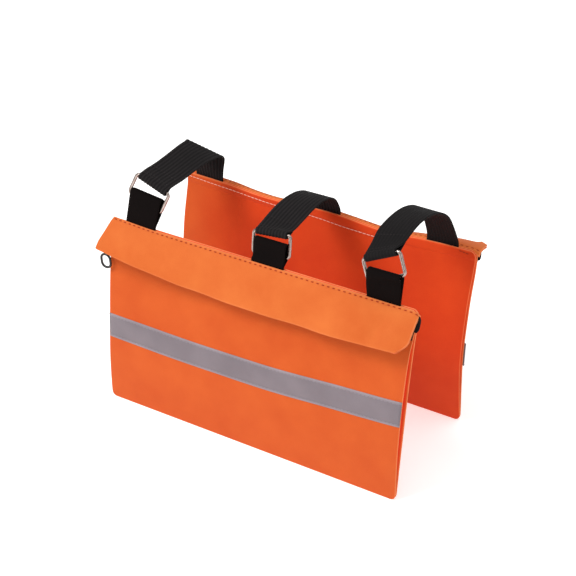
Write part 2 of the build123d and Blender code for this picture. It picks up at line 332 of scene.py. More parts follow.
MATERIALS = make_materials()
CAD_FINISH = {
    "sand_fill": "sand", "liner_bag": "liner", "zip_tape": "zip_tape", "zip_coil": "coil",
    "zip_slider": "black_metal", "zip_pull": "black_metal", "ring": "wire", "strap": "elastic",
    "tab": "webbing", "flap": "orange", "panel": "orange", "allowance": "orange",
    "reflective_tape": "tape",
}


def finish_cad_nodes():
    """Every CAD node gets the finish of the stuff that it is made of."""
    for name, obj in frame["nodes"].items():
        kind = next(key for key in CAD_FINISH if name.endswith(key))
        if not obj.data.materials:
            obj.data.materials.append(None)
        for index in range(len(obj.material_slots)):
            obj.material_slots[index].material = MATERIALS[CAD_FINISH[kind]]


# ---- mesh tools ----


def make_piece(name, verts, faces, material, flat=None, edge=None, shade=None):
    """A smooth mesh with flat coordinates in metres, edges lighter from scuffing and painted highlight, and
    painted shade.
    """
    mesh = bpy.data.meshes.new(name)
    mesh.from_pydata([tuple(v) for v in verts], [], faces)
    shape = bmesh.new()
    shape.from_mesh(mesh)
    bmesh.ops.recalc_face_normals(shape, faces=shape.faces)
    shape.to_mesh(mesh)
    shape.free()
    flat = flat or [(v[0], v[2]) for v in verts]
    layer = mesh.uv_layers.new(name="Flat")
    for loop in mesh.loops:
        layer.data[loop.index].uv = flat[loop.vertex_index]
    scuff_and_highlight = mesh.attributes.new("edge", "FLOAT", "POINT")
    scuff_and_highlight.data.foreach_set("value", edge or [0.0] * len(verts))
    painted_shade = mesh.attributes.new("shade", "FLOAT", "POINT")
    painted_shade.data.foreach_set("value", shade or [0.0] * len(verts))
    mesh.polygons.foreach_set("use_smooth", [True] * len(mesh.polygons))
    mesh.materials.append(MATERIALS[material])
    obj = bpy.data.objects.new(name, mesh)
    bpy.context.scene.collection.objects.link(obj)
    return obj


def apply_modifiers(obj):
    """The mesh with its modifiers worked in."""
    bpy.context.view_layer.update()
    depsgraph = bpy.context.evaluated_depsgraph_get()
    done = bpy.data.meshes.new_from_object(obj.evaluated_get(depsgraph))
    obj.modifiers.clear()
    obj.data = done


def subdivide(obj):
    smooth = obj.modifiers.new("Smooth", "SUBSURF")
    smooth.levels = smooth.render_levels = 1
    apply_modifiers(obj)


def tree_of(obj):
    return BVHTree.FromPolygons([v.co for v in obj.data.vertices], [p.vertices for p in obj.data.polygons])


def stations(low, high, low_lead, high_lead, step):
    """Places from low to high: close together in each lead and even between them."""
    first, last = low + low_lead[-1], high - high_lead[-1]
    count = max(1, round((last - first) / step))
    middle = [first + (last - first) * i / count for i in range(1, count)]
    return [low + d for d in low_lead] + middle + [high - d for d in reversed(high_lead)]


def bump_at(x, centre, width):
    """A smooth hump of height 1."""
    return math.exp(-(((x - centre) / width) ** 2))


def envelope(front, back, flat, ply, groove):
    """A closed two-ply sheet from two grids of points. Its rim has a folded edge on each
    ply and a groove between them; groove(row) is how deep."""
    rows, columns = len(front), len(front[0])
    count = rows * columns
    verts = [p for row in front for p in row] + [p for row in back for p in row]
    flats = [f for row in flat for f in row] * 2
    loop = [(0, c) for c in range(columns)]
    loop += [(r, columns - 1) for r in range(1, rows)]
    loop += [(rows - 1, c) for c in range(columns - 2, -1, -1)]
    loop += [(r, 0) for r in range(rows - 2, 0, -1)]
    scuff_and_highlight = [0.0] * (2 * count)
    shade = [0.0] * (2 * count)
    faces = []
    for r in range(rows - 1):
        for c in range(columns - 1):
            quad = (r * columns + c, r * columns + c + 1, (r + 1) * columns + c + 1, (r + 1) * columns + c)
            faces.append(quad)
            faces.append(tuple(count + i for i in reversed(quad)))
    chains = []
    for r, c in loop:
        outer, inner = front[r][c], back[r][c]
        near_r, near_c = min(max(r, 1), rows - 2), min(max(c, 1), columns - 2)
        inward = (front[near_r][near_c] + back[near_r][near_c] - outer - inner).normalized()
        across = inner - outer
        depth = across.length
        across.normalize()
        lip = min(ply, 0.38 * depth)
        deep = groove(r)
        half = [(0.3 * lip, 0.0), (0.8 * lip, 0.0), (lip, 0.3 * min(deep, lip)), (1.12 * lip, deep)]
        profile = half + [(depth / 2, deep)] + [(depth - d, i) for d, i in reversed(half)]
        first = len(verts)
        verts += [outer + across * d + inward * i for d, i in profile]
        flats += [(flat[r][c][0] + d, flat[r][c][1] + d) for d, _ in profile]
        # rim lighter at its folded edges from scuffing and painted highlight; painted shade in the groove
        # between the plies
        scuff_and_highlight += [1.0, 1.0, 0.5, 0.0, 0.0, 0.0, 0.5, 1.0, 1.0]
        shade += [0.0, 0.0, 0.4, 1.0, 1.0, 1.0, 0.4, 0.0, 0.0]
        here = r * columns + c
        scuff_and_highlight[here] = scuff_and_highlight[count + here] = 0.7
        chains.append([here] + list(range(first, first + len(profile))) + [count + here])
    for chain, following in zip(chains, chains[1:] + chains[:1]):
        for k in range(len(chain) - 1):
            faces.append((chain[k], following[k], following[k + 1], chain[k + 1]))
    return verts, faces, flats, scuff_and_highlight, shade


def swell(obj, held, pressure, cap):
    """Cloth held at its seams swells under pressure; no point moves further than cap."""
    rest = [v.co.copy() for v in obj.data.vertices]
    group = obj.vertex_groups.new(name="held")
    group.add(held, 1.0, "REPLACE")
    cloth = obj.modifiers.new("Fill", "CLOTH")
    cloth.settings.vertex_group_mass = "held"
    cloth.settings.use_pressure = True
    cloth.settings.uniform_pressure_force = pressure
    cloth.settings.effector_weights.gravity = 0.0
    cloth.settings.quality = 6
    cloth.settings.mass = 0.25
    cloth.settings.bending_stiffness = 1.5
    cloth.collision_settings.use_collision = False
    scene = bpy.context.scene
    for frame_number in range(1, FILL_FRAMES + 1):
        scene.frame_set(frame_number)
    depsgraph = bpy.context.evaluated_depsgraph_get()
    swollen = obj.evaluated_get(depsgraph).data
    moved = [v.co.copy() for v in swollen.vertices]
    scene.frame_set(1)
    obj.modifiers.clear()
    obj.vertex_groups.clear()
    for vertex, before, after in zip(obj.data.vertices, rest, moved):
        shift = after - before
        if shift.length > 0:
            shift *= cap * math.tanh(shift.length / cap) / shift.length
        vertex.co = before + shift


def skin(first, size, count, closed=False):
    """Faces over rings of points numbered from first; the ends are joined or capped."""
    rings = [range(first + i * size, first + (i + 1) * size) for i in range(count)]
    faces = []
    for ring, following in zip(rings, rings[1:] + (rings[:1] if closed else [])):
        for k in range(size):
            m = (k + 1) % size
            faces.append((ring[k], ring[m], following[m], following[k]))
    if not closed:
        faces.append(tuple(reversed(rings[0])))
        faces.append(tuple(rings[-1]))
    return faces


def grid_faces(rows, span):
    """Quads over rows of points, span points to a row."""
    corners = [r * span + k for r in range(rows - 1) for k in range(span - 1)]
    return [(a, a + 1, a + span + 1, a + span) for a in corners]


def thicken(obj, thickness, offset):
    """Give a single surface the thickness of its cloth."""
    ply = obj.modifiers.new("Ply", "SOLIDIFY")
    ply.thickness = thickness
    ply.offset = offset
    apply_modifiers(obj)


def stitch_row(name, points, normals, stitch, gap, radius, material):
    """Thread stitches laid along a line of points, each a short swelling capsule."""
    lengths = [0.0]
    for a, b in zip(points, points[1:]):
        lengths.append(lengths[-1] + (b - a).length)

    def at(distance):
        i = next((k for k in range(1, len(lengths)) if lengths[k] >= distance), len(lengths) - 1)
        share = (distance - lengths[i - 1]) / max(lengths[i] - lengths[i - 1], 1e-9)
        return points[i - 1].lerp(points[i], share), normals[i - 1].lerp(normals[i], share).normalized()

    verts, faces = [], []
    start = gap / 2
    while start + stitch < lengths[-1]:
        first = len(verts)
        for share, girth in STITCH_GIRTHS:
            centre, normal = at(start + stitch * share)
            ahead = at(min(start + stitch * share + 0.2 * stitch, lengths[-1]))[0]
            behind = at(max(start + stitch * share - 0.2 * stitch, 0.0))[0]
            side = (ahead - behind).normalized().cross(normal).normalized()
            lift = normal * radius * (0.55 if 0 < share < 1 else -0.2)
            for k in range(STITCH_SIDES):
                turn = 2 * math.pi * k / STITCH_SIDES
                spoke = side * math.cos(turn) + normal * math.sin(turn)
                verts.append(centre + lift + spoke * radius * girth)
        faces += skin(first, STITCH_SIDES, len(STITCH_GIRTHS))
        start += stitch + gap
    return make_piece(name, verts, faces, material)


# ---- pouches ----


def section_reader(node, out, from_inside):
    """How far out a CAD panel's face is at each height, read by a ray on its mesh."""
    surface = tree_of(frame["nodes"][node])
    low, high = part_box(node)
    start = 0.0 if from_inside else out * RAY_FROM
    direction = Vector((0, out if from_inside else -out, 0))

    def depth(z):
        level = min(max(z, low.z + 0.2 * MM), high.z - 0.3 * MM)
        return surface.ray_cast(Vector((0, start, level)), direction)[0].y

    return depth


def ripple(name, x, z, top):
    """How far cloth on the saddle side and the outer side stands proud of a flat face."""
    rise = min(1.0, z / 0.05) * min(1.0, (top - z) / 0.012)
    saddle_end = outer_end = min(1.0, (POUCH_HALF - abs(x)) / 0.012)
    if name == "rear":
        saddle = sum(height * bump_at(x, centre, width) for height, centre, width in REAR_SWELLS)
        outer = 0.8 * math.sin(x * 42 + 0.5) + 0.5 * math.sin(x * 75 + z * 30)
    else:
        saddle = 1.1 * math.sin(x * 36 + 1.1) + 0.6 * math.sin(x * 70 - z * 22)
        outer = 0.5 * math.sin(x * 33 - 0.4 + z * 14) + 0.3 * math.sin(x * 64 + 1.9 - z * 26)
        outer += 0.2 + 2.6 * max(0.0, (x - 0.03) / 0.12) ** 2
        outer *= 1 - 0.8 * min(1.0, max(0.0, (z - 0.150) / 0.012))
        outer_end = 1.0
    saddle = max(saddle, -SADDLE_DIP) * saddle_end
    outer = max(outer, -OUTER_DIP) * outer_end
    return saddle * MM * rise, outer * MM * rise


def top_sag(name, x):
    """How far the rear pouch's top edge hangs down between its straps."""
    if name == "front":
        return 0.0
    return (4.2 * bump_at(x, -0.060, 0.040) + 4.4 * bump_at(x, 0.060, 0.036)) * MM


def corner_inset(z, top):
    """How far the rounded corners bring a pouch's ends in at height z."""
    over = max(CORNER_R - z, z - (top - CORNER_R), 0.0)
    return CORNER_R - math.sqrt(max(CORNER_R**2 - over**2, 0.0))


def pouch_grid(name, out):
    """Outer and saddle side grids of points, their flat coordinates and the rows' heights."""
    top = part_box(f"{name}_outer_panel")[1].z
    outer_y = section_reader(f"{name}_outer_panel", out, False)
    inner_y = section_reader(f"{name}_inner_panel", out, True)
    heights = list(reversed(stations(0.0, top, SEAM_LEAD, HEM_LEAD, FACE_STEP)))
    columns = stations(-POUCH_HALF, POUCH_HALF, SEAM_LEAD, SEAM_LEAD, FACE_STEP)
    front, back = [], []
    for z in heights:
        inset = corner_inset(z, top)
        hem = HEM_STEP if z > top - HEM_DEPTH else 0.0
        sag = max(0.0, (z - 0.1) / (top - 0.1)) ** 2
        line_front, line_back = [], []
        for x in columns:
            saddle, outer = ripple(name, x, z, top)
            reach = max(0.0, 1 - (POUCH_HALF - abs(x)) / (3 * CORNER_R))
            place = x - math.copysign(inset * reach, x)
            if name == "front":
                place += WAIST * bump_at(z, 0.10, 0.06) * max(0.0, 1 - (POUCH_HALF + x) / 0.03)
            level = z - top_sag(name, x) * sag
            line_front.append(Vector((place, outer_y(z) + out * outer, level)))
            line_back.append(Vector((place, inner_y(z) - out * (saddle + hem), level)))
        front.append(line_front)
        back.append(line_back)
    return front, back, [[(x, z) for x in columns] for z in heights], heights


def held_points(heights, columns, total):
    """Points that stay put as a pouch swells: its rim, its seams, the zip's lane and the hem."""
    last = len(heights) - 1
    count = len(heights) * columns
    held = set(range(2 * count, total))
    for r, z in enumerate(heights):
        for c in range(columns):
            border = r in (0, last) or c in (0, columns - 1)
            if border or z > heights[0] - ZIP_LANE:
                held.add(r * columns + c)
            if border or z > heights[0] - HEM_DEPTH - 2 * MM:
                held.add(count + r * columns + c)
    return sorted(held)


def saddle_shade(name, x):
    """Share of painted shade, a deeper red colour, on a saddle side; less at the rear one's left end, which
    is lit.
    """
    lit = min(1.0, max(0.0, (-0.08 - x) / 0.06)) if name == "rear" else 0.0
    return SADDLE_SHADE * (1 - 0.85 * lit)


def build_pouch(name, out):
    """A pouch's two panels as one swollen shell with crisp seams and grooved ends."""
    front, back, flat, heights = pouch_grid(name, out)
    columns = len(front[0])

    def groove(row):
        below_top = heights[0] - heights[row]
        return HEM_GROOVE if row == 0 else GROOVE * min(1.0, below_top / (8 * MM) + 0.1)

    verts, faces, flats, scuff_and_highlight, shade = envelope(front, back, flat, PLY, groove)
    count = len(heights) * columns
    # the saddle side gets painted shade, less where the rear pouch's left end is lit
    shade[count : 2 * count] = [saddle_shade(name, x) for x, _ in flats[:count]]
    shell = make_piece(f"{name}_pouch_shell", verts, faces, "orange", flats, scuff_and_highlight, shade)
    swell(shell, held_points(heights, columns, len(verts)), FILL_PRESSURE, SWELL_CAP)
    subdivide(shell)
    return shell


def on_face(surface, x, z, out, from_inside=False):
    """The point and outward normal of a pouch's face at x, or just inside its end, and z."""
    direction = Vector((0, out if from_inside else -out, 0))
    place = None
    while place is None:
        start = Vector((x, 0.0 if from_inside else out * RAY_FROM, z))
        place, normal = surface.ray_cast(start, direction)[:2]
        x *= 0.998
    if normal.dot(direction) > 0:
        normal = -normal
    return place, normal


def build_tape(name, out, surface):
    """Reflective tape sewn across the outer face, its long edges turned under."""
    low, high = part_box(f"{name}_reflective_tape")
    width = high.z - low.z
    left = low.x + (WAIST if name == "front" else 0.0)
    right = high.x + (TAPE_WRAP if name == "rear" else 0.0)
    verts, flats, scuff_and_highlight = [], [], []
    seams = {share: ([], []) for share in TAPE_SEAMS}
    for i in range(TAPE_STEPS + 1):
        x = left + (right - left) * i / TAPE_STEPS
        past = max(0.0, x - high.x)
        along = x / high.x
        climb = (1.4 + 5.6 * along + 5.5 * along**2) * MM if name == "front" else 0.0
        for share, proud in TAPE_PROFILE:
            z = low.z + width * share + climb
            place, normal = on_face(surface, x, z, out)
            place = Vector((x, place.y - out * past * 0.8, place.z)) + normal * proud * MM
            verts.append(place)
            flats.append((x, z))
            # the tape's turned edges lighter: scuffing and painted highlight
            scuff_and_highlight.append(0.7 if share < 0.1 or share > 0.9 else 0.0)
            if share in seams:
                seams[share][0].append(place)
                seams[share][1].append(normal)
    faces = grid_faces(TAPE_STEPS + 1, len(TAPE_PROFILE))
    tape = make_piece(f"{name}_tape_strip", verts, faces, "tape", flats, scuff_and_highlight)
    thicken(tape, 0.25 * MM, -1.0)
    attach(tape, f"{name}_pouch")
    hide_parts(f"{name}_reflective_tape")
    for label, (points, normals) in zip(("lower", "upper"), seams.values()):
        row_name = f"{name}_tape_stitches_{label}"
        row = stitch_row(row_name, points, normals, 2.4 * MM, 1.2 * MM, 0.28 * MM, "stitch_grey")
        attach(row, f"{name}_pouch")


def build_hem_stitches(name, out, surface):
    """The pale stitch line under the hem on the saddle side, and the dark ones at its end."""
    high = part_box(f"{name}_inner_panel")[1]
    rows = (
        ("hem_stitches", -high.x + 2 * MM, 0.076, 3.0 * MM, HEM_DEPTH + 1.4 * MM, 3.6 * MM, "stitch_pale"),
        ("hem_end_stitches", 0.134, high.x - 4 * MM, 2.0 * MM, 3.0 * MM, 2.6 * MM, "stitch_shaded"),
    )
    for label, left, right, left_drop, right_drop, stitch, material in rows:
        points, normals = [], []
        count = round((right - left) / (2 * MM))
        for i in range(count + 1):
            x = left + (right - left) * i / count
            drop = left_drop + (right_drop - left_drop) * min(1.0, 1.35 * i / count)
            level = high.z - drop - top_sag(name, x) * 0.5
            place, normal = on_face(surface, x, level, out, True)
            points.append(place)
            normals.append(normal)
        row = stitch_row(f"{name}_{label}", points, normals, stitch, 0.5 * MM, 0.38 * MM, material)
        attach(row, f"{name}_pouch")


# ---- flaps ----

HEMS = {
    "front": (
        (-0.152, 86.5, 163.4), (-0.11, 83.5, 156.0), (-0.06, 82.0, 150.6),
        (0.0, 81.5, 148.8), (0.08, 83.5, 150.4), (0.152, 89.0, 157.6),
    ),
    "rear": (
        (-0.152, 87.0, 170.0), (-0.06, 86.0, 164.0), (0.05, 85.5, 166.0),
        (0.11, 86.0, 173.0), (0.152, 87.0, 181.0),
    ),
}


def along_curve(points, x):
    """A smooth curve through (x, a, b) points: a and b at x, in millimetres."""
    i = next((k for k in range(1, len(points)) if points[k][0] >= x), len(points) - 1)
    before = points[max(i - 2, 0)]
    first, second = points[i - 1], points[i]
    after = points[min(i + 1, len(points) - 1)]
    t = min(max((x - first[0]) / (second[0] - first[0]), 0.0), 1.0)
    result = []
    for k in (1, 2):
        slope_a = (second[k] - before[k]) / (second[0] - before[0]) * (second[0] - first[0])
        slope_b = (after[k] - first[k]) / (after[0] - first[0]) * (second[0] - first[0])
        h = (2 * t**3 - 3 * t**2 + 1, t**3 - 2 * t**2 + t, -2 * t**3 + 3 * t**2, t**3 - t**2)
        result.append(h[0] * first[k] + h[1] * slope_a + h[2] * second[k] + h[3] * slope_b)
    return result


def flap_centre(name, x, share, fold):
    """A point of the flap's middle surface as (distance out, height)."""
    sink = Vector((0.0, top_sag(name, x)))
    start = fold - FLAP_START - sink
    crown = fold - FLAP_CROWN - sink
    hem = Vector(along_curve(HEMS[name], x)) * MM
    if share < 0.08:
        return start.lerp(crown, share / 0.08)
    t = (share - 0.08) / 0.92
    chord = hem - crown
    near_end = max(0.0, 1 - (FLAP_REACH - abs(x)) / 0.03)
    bulge = Vector((-chord.y, chord.x)).normalized() * FLAP_BULGE * (1 - 0.65 * near_end)
    leave = crown + chord * 0.12 + bulge * 0.8
    arrive = hem - chord * 0.3 + bulge
    s = 1 - t
    return crown * s**3 + leave * (3 * s * s * t) + arrive * (3 * s * t * t) + hem * t**3


def flap_wrinkle(name, x, share):
    """How far the flap's cloth stands proud of its middle surface, in metres."""
    loose = max(0.0, share - 0.15) ** 1.3
    wave = 1.3 * math.sin(x * 58 + 0.9 + share) + 0.8 * math.sin(x * 131 + 2.2 + share * 2)
    wave += 2.2 * noise.noise(Vector((x * 26, share * 1.5, 3.0 if name == "front" else 8.0)))
    dent = -3.4 * bump_at(x - 0.02 * (1 - share), 0.116, 0.010) * bump_at(share, 0.72, 0.3)
    dent += 1.0 * bump_at(x - 0.02 * (1 - share), 0.134, 0.009) * bump_at(share, 0.7, 0.3)
    pucker = -0.45 * bump_at(share, 0.145, 0.03)
    return (wave * loose + (dent if name == "front" else 0.0) + pucker) * MM


def left_slant(x):
    """How near x is to the flap's left end, from 0 to 1."""
    return max(0.0, 1 - (FLAP_REACH + x) / 0.05)


def flap_place(x, share):
    """Where a point goes lengthwise: ends trimmed towards the hem, the left one slanting out."""
    chamfer = max(0.0, share - 0.76) / 0.24
    trim = (FLAP_TRIM_RIGHT if x > 0 else FLAP_TRIM_LEFT) * chamfer**1.15
    reach = max(0.0, 1 - (FLAP_REACH - abs(x)) / 0.016)
    place = x - math.copysign(trim * reach, x)
    if x < 0:
        place += (FLAP_LEFT_FOLD - FLAP_LEFT_FLARE * share) * left_slant(x)
    return place


def flap_fall(x, share):
    """How far the fold hangs at the right end; it stands up at the left one."""
    if x < 0:
        tip = left_slant(x) ** 1.5 * min(1.0, share / 0.07)
        return -FLAP_TIP_RISE * tip * max(0.0, 1 - share / 0.6)
    drop = max(0.0, x - (FLAP_REACH - 7 * MM)) / (7 * MM)
    return FLAP_TIP_FALL * drop**2.2 * max(0.0, 1 - share / 0.4)


def flap_sample(name, x, share, fold, out):
    """A point of the flap's middle surface, its outward normal and half the thickness there."""
    v, z = flap_centre(name, x, share, fold)
    ahead = flap_centre(name, x, min(share + 0.03, 1.0), fold)
    behind = flap_centre(name, x, max(share - 0.03, 0.0), fold)
    run = (ahead - behind).normalized()
    normal = Vector((0, out * -run.y, run.x))
    if normal.z < 0 and share > 0.1:
        normal = -normal
    centre = Vector((flap_place(x, share), out * v, z - flap_fall(x, share)))
    thick = FLAP_T * (0.5 + 0.14 * bump_at(share, 0.97, 0.08))
    if share < 0.12:
        thick *= 0.6 + 0.4 * share / 0.12
    return centre + normal * flap_wrinkle(name, x, share), normal, thick


def build_flap(name, out):
    """A two-ply weather flap, folded over at the top seam, with its ends turned in."""
    hinge = JOINTS[f"{name}_flap_lift"]["pos_m"]
    fold = Vector((abs(hinge[1]), hinge[2]))
    columns = stations(-FLAP_REACH, FLAP_REACH, FLAP_LEAD, FLAP_LEAD, 2.6 * MM)
    front, back = [], []
    for share in FLAP_SHARES:
        samples = [flap_sample(name, x, share, fold, out) for x in columns]
        front.append([centre + normal * thick for centre, normal, thick in samples])
        back.append([centre - normal * thick for centre, normal, thick in samples])
    flat = [[(x, share * FLAP_CUT) for x in columns] for share in FLAP_SHARES]
    last = len(FLAP_SHARES) - 1

    def groove(row):
        return 0.1 * MM if row in (0, last) else 1.5 * MM * min(1.0, row / 5)

    verts, faces, flats, scuff_and_highlight, shade = envelope(front, back, flat, FLAP_PLY, groove)
    # hem and fold rows lighter: scuffing and painted highlight
    scuff_and_highlight = [w * (0.35 if f[1] > 0.9 * FLAP_CUT else 1.0) for w, f in zip(scuff_and_highlight, flats)]
    for row, row_scuff_and_highlight in ((3, 0.3), (4, 0.15), (last - 1, 0.1), (last, 0.15)):
        for i in range(row * len(columns), (row + 1) * len(columns)):
            scuff_and_highlight[i] = max(scuff_and_highlight[i], row_scuff_and_highlight)
    flap = make_piece(f"{name}_flap_cloth", verts, faces, "orange_flap_lit", flats, scuff_and_highlight, shade)
    subdivide(flap)
    sewn = list(zip(front[FLAP_STITCH_ROW], back[FLAP_STITCH_ROW]))[1:-1]
    points = [over - (over - under) * 0.1 for over, under in sewn]
    normals = [(over - under).normalized() for over, under in sewn]
    row_name = f"{name}_flap_stitches"
    threads = stitch_row(row_name, points, normals, 2.6 * MM, 2.4 * MM, 0.62 * MM, "stitch_shaded")
    for piece in (flap, threads):
        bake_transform(piece)
    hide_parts(f"{name}_flap")


# ---- zips ----


def build_coil(name, out):
    """The zip's coil as two rows of teeth that mesh along its middle."""
    low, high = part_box(f"{name}_zip_coil")
    surface = tree_of(frame["nodes"][f"{name}_zip_coil"])
    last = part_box(f"{name}_outer_panel")[1].x - 1.5 * MM
    middle = (low.z + high.z) / 2
    verts, faces = [], []
    for i in range(int((last - low.x) / TOOTH_PITCH)):
        x = low.x + (i + 0.5) * TOOTH_PITCH
        side = 1 if i % 2 else -1
        first = len(verts)
        for reach, girth in TOOTH:
            z = middle + side * reach * MM
            hit = surface.ray_cast(Vector((0, out * RAY_FROM, z)), Vector((0, -out, 0)))[0]
            y = (hit.y if hit else out * max(abs(low.y), abs(high.y))) - out * 0.55 * MM
            for k in range(TOOTH_SIDES):
                turn = 2 * math.pi * k / TOOTH_SIDES
                verts.append(Vector((x + math.cos(turn) * girth * MM, y + math.sin(turn) * girth * MM, z)))
        faces += skin(first, TOOTH_SIDES, len(TOOTH))
    coil = make_piece(f"{name}_coil_teeth", verts, faces, "coil")
    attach(coil, f"{name}_pouch")
    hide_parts(f"{name}_zip_coil")


def build_zip_tape(name, out, surface):
    """The zip's tape, draped along the face; past the pouch's end it narrows to a stub."""
    low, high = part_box(f"{name}_zip_tape")
    left = low.x + 1.0 * MM
    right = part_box(f"{name}_outer_panel")[1].x - 1.0 * MM
    stub, stub_low, stub_high = ZIP_STUBS[name]
    across, along, beyond = 12, 100, 5
    verts, flats = [], []
    for i in range(along + beyond + 1):
        past = max(0, i - along) / beyond
        x = left + (right - left) * min(i, along) / along
        draped = 1 - min(1.0, past * 4)
        lift = (0.4 + 0.5 * (1 - draped)) * MM
        for k in range(across + 1):
            share = k / across
            z = low.z + 0.4 * MM + (high.z - low.z - 0.8 * MM) * share
            place, normal = on_face(surface, x, z, out)
            level = place.z * draped + (stub_low + (stub_high - stub_low) * share) * (1 - draped)
            rounding = 0.35 * stub * (2 * share - 1) ** 4 * past
            verts.append(Vector((x + stub * past - rounding, place.y + normal.y * lift, level)))
            flats.append((x + stub * past, z))
    faces = grid_faces(along + beyond + 1, across + 1)
    tape = make_piece(f"{name}_zip_strip", verts, faces, "zip_tape", flats)
    thicken(tape, 0.6 * MM, 0.0)
    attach(tape, f"{name}_pouch")
    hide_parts(f"{name}_zip_tape")


def join(parts):
    """Several meshes as one list of points and one of faces."""
    verts, faces = [], []
    for more_verts, more_faces in parts:
        first = len(verts)
        verts += more_verts
        faces += [tuple(first + i for i in face) for face in more_faces]
    return verts, faces


def tube(path, normal, radius, closed, flatten=1.0, sides=12):
    """Round wire along a path in the plane of a normal; flatten squeezes it along the normal."""
    verts = []
    count = len(path)
    for i, point in enumerate(path):
        before = path[i - 1] if closed or i else path[0]
        after = path[(i + 1) % count] if closed or i < count - 1 else path[-1]
        side = (after - before).normalized().cross(normal)
        for k in range(sides):
            turn = 2 * math.pi * k / sides
            verts.append(point + side * math.cos(turn) * radius + normal * math.sin(turn) * radius * flatten)
    return verts, skin(0, sides, count, closed)


def rounded_loop(centre, right, up, width, height, radius, steps=7):
    """Points round a rectangle with rounded corners."""
    points = []
    for quarter, (sx, sy) in enumerate(((1, 1), (-1, 1), (-1, -1), (1, -1))):
        middle = centre + right * sx * (width / 2 - radius) + up * sy * (height / 2 - radius)
        for k in range(steps):
            turn = math.pi / 2 * (quarter + k / (steps - 1))
            points.append(middle + (right * math.cos(turn) + up * math.sin(turn)) * radius)
    return points


def build_pull(name):
    """The zip's pull: an eye on the post, a flat stem and an oval ring of wire."""
    hinge = Vector(JOINTS[f"{name}_pull_swing"]["pos_m"])
    low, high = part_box(f"{name}_zip_pull")
    hinge.y = (low.y + high.y) / 2
    askew = math.radians(PULL_ASKEW)
    up = Vector((-math.sin(askew), 0, math.cos(askew)))
    right = Vector((math.cos(askew), 0, math.sin(askew)))
    normal = Vector((0, 1, 0))
    eye = rounded_loop(hinge, right, up, *PULL_EYE)
    ring = rounded_loop(hinge - up * PULL_REACH, right, up, *PULL_LOOP)
    stem_length = PULL_REACH - 8.4 * MM
    stem = [hinge - up * (2.2 * MM + stem_length * k / 6) for k in range(7)]
    parts = [
        tube(eye, normal, 0.5 * MM, True),
        tube(ring, normal, PULL_WIRE, True),
        tube(stem, normal, 1.3 * MM, False, 0.45),
    ]
    pull = make_piece(f"{name}_pull_wire", *join(parts), "black_metal")
    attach(pull, f"{name}_zip_pull")
    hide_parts(f"{name}_zip_pull")


def build_ring(side):
    """A rectangular ring of round plated wire, with the bead where its ends are welded."""
    upper, lower, along = bars(side)
    rise = upper - lower
    up = rise.normalized()
    normal = along.cross(up)
    path = rounded_loop((upper + lower) / 2, along, up, RING_WIDTH, rise.length, RING_CORNER)
    weld_at = lower + along * 0.18 * RING_WIDTH
    weld = [weld_at + along * k * 0.5 * MM for k in range(-2, 3)]
    parts = [
        tube(path, normal, WIRE_R, True, sides=16),
        tube(weld, normal, WIRE_R * 1.12, False, sides=16),
    ]
    ring = make_piece(f"{side}_ring_wire", *join(parts), "wire")
    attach(ring, f"{side}_ring")
    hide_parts(f"{side}_ring")


# ---- straps and tabs ----


def spline_through(points, t):
    """Catmull-Rom through equally weighted points; t runs from 0 to len(points) - 1."""
    i = min(int(t), len(points) - 2)
    s = t - i
    p0, p1, p2, p3 = (points[min(max(k, 0), len(points) - 1)] for k in (i - 1, i, i + 1, i + 2))
    leave = (p2 - p0) * 0.5
    arrive = (p3 - p1) * 0.5
    ends = p1 * (2 * s**3 - 3 * s**2 + 1) + p2 * (3 * s**2 - 2 * s**3)
    return ends + leave * (s**3 - 2 * s**2 + s) + arrive * (s**3 - s**2)


def even_rows(pairs, fine, steps=40):
    """Edge to edge lines at even steps along a smooth run through pairs of points."""
    lefts, rights = [p[0] for p in pairs], [p[1] for p in pairs]
    path = [
        (spline_through(lefts, i / steps), spline_through(rights, i / steps))
        for i in range((len(pairs) - 1) * steps + 1)
    ]
    marks = [0.0]
    for (a, b), (c, d) in zip(path, path[1:]):
        marks.append(marks[-1] + ((c + d) - (a + b)).length / 2)
    count = max(8, round(marks[-1] / fine))
    rows, k = [], 0
    for i in range(count + 1):
        travelled = marks[-1] * i / count
        while k < len(marks) - 2 and marks[k + 1] < travelled:
            k += 1
        share = (travelled - marks[k]) / max(marks[k + 1] - marks[k], 1e-12)
        rows.append((path[k][0].lerp(path[k + 1][0], share), path[k][1].lerp(path[k + 1][1], share)))
    return rows, marks[-1]


def ribbon(name, pairs, thickness, ribs, relief, material, fine=1.6 * MM):
    """Webbing between a left and a right edge line, with lengthwise ribs on both faces."""
    rows, length = even_rows(pairs, fine)
    count = len(rows) - 1
    across = 6 * ribs if relief > 0 else 24
    verts, flats, scuff_and_highlight = [], [], []
    for i, (left, right) in enumerate(rows):
        before, after = rows[max(i - 1, 0)], rows[min(i + 1, count)]
        run = (after[0] + after[1] - before[0] - before[1]).normalized()
        span = right - left
        normal = span.cross(run).normalized()
        for face in (1, -1):
            for k in range(across + 1):
                u = k / across if face > 0 else 1 - k / across
                crest = 0.5 * (1 - math.cos(2 * math.pi * ribs * u))
                # rib crests lighter: scuffing and painted highlight
                scuff_and_highlight.append(crest * relief / RIB_FULL)
                edge = min(u, 1 - u) * span.length
                round_off = math.sqrt(max(0.0, 1 - (1 - min(edge / (thickness / 2), 1.0)) ** 2))
                height = (thickness / 2 - relief + relief * crest) * (0.15 + 0.85 * round_off)
                verts.append(left + span * u + normal * face * height)
                flats.append((u * span.length, i * length / count))
    faces = skin(0, 2 * (across + 1), count + 1)
    return make_piece(name, verts, faces, material, flats, scuff_and_highlight), rows


